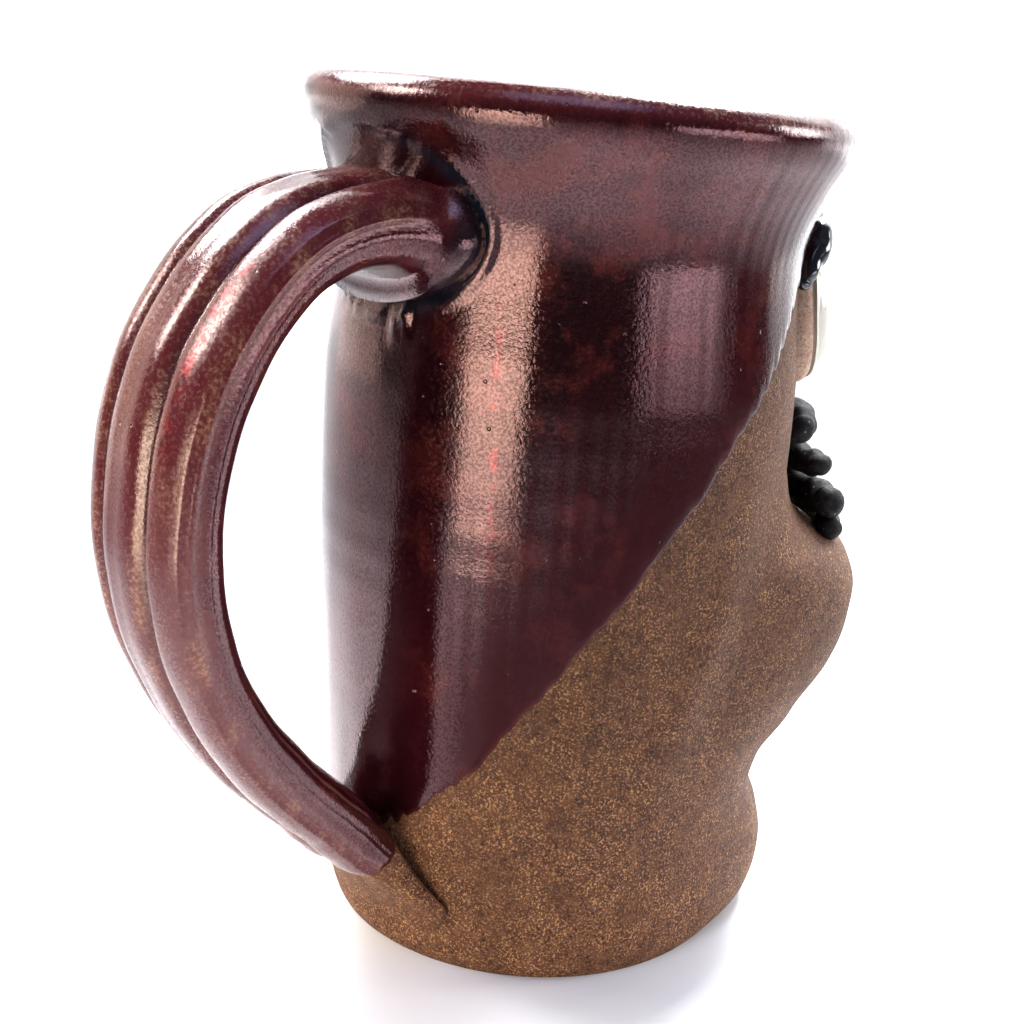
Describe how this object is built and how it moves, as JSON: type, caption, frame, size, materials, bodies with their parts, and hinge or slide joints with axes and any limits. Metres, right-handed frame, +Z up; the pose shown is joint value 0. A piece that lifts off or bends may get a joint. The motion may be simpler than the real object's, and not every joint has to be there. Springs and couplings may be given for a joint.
{
  "type": "face mug",
  "caption": "Hand-built stoneware face mug with a flared lip, a pushed-out jaw, a curly moustache, a ridged strap handle and a slanted dark red glaze.",
  "frame": {"origin": "centre of the foot, on the cup's axis, in the plane it stands on", "axes": "+Z up along the cup's axis, -Y towards the face, +Y towards the handle"},
  "size_m": [0.09, 0.1414, 0.1432],
  "materials": {
    "bare_clay": "matte",
    "oxblood_glaze": "gloss",
    "pale_clay": "matte",
    "white_glaze": "gloss",
    "black_glaze": "gloss",
    "black_clay": "satin"
  },
  "bodies": {
    "root": {"body": "bare_clay", "outer_glaze": "oxblood_glaze", "liner_glaze": "oxblood_glaze", "handle": "oxblood_glaze", "handle_upper_pad": "oxblood_glaze", "handle_tail": "bare_clay", "nose": "bare_clay", "lower_lip": "bare_clay", "eye_pad_left": "pale_clay", "eye_pad_right": "pale_clay", "eye_white_left": "white_glaze", "eye_white_right": "white_glaze", "pupil_left": "black_glaze", "pupil_right": "black_glaze", "brow_left": "black_glaze", "brow_right": "black_glaze", "curl_1_left": "black_clay", "curl_2_left": "black_clay", "curl_3_left": "black_clay", "curl_4_left": "black_clay", "curl_1_right": "black_clay", "curl_2_right": "black_clay", "curl_3_right": "black_clay", "curl_4_right": "black_clay"}
  },
  "joints": []
}
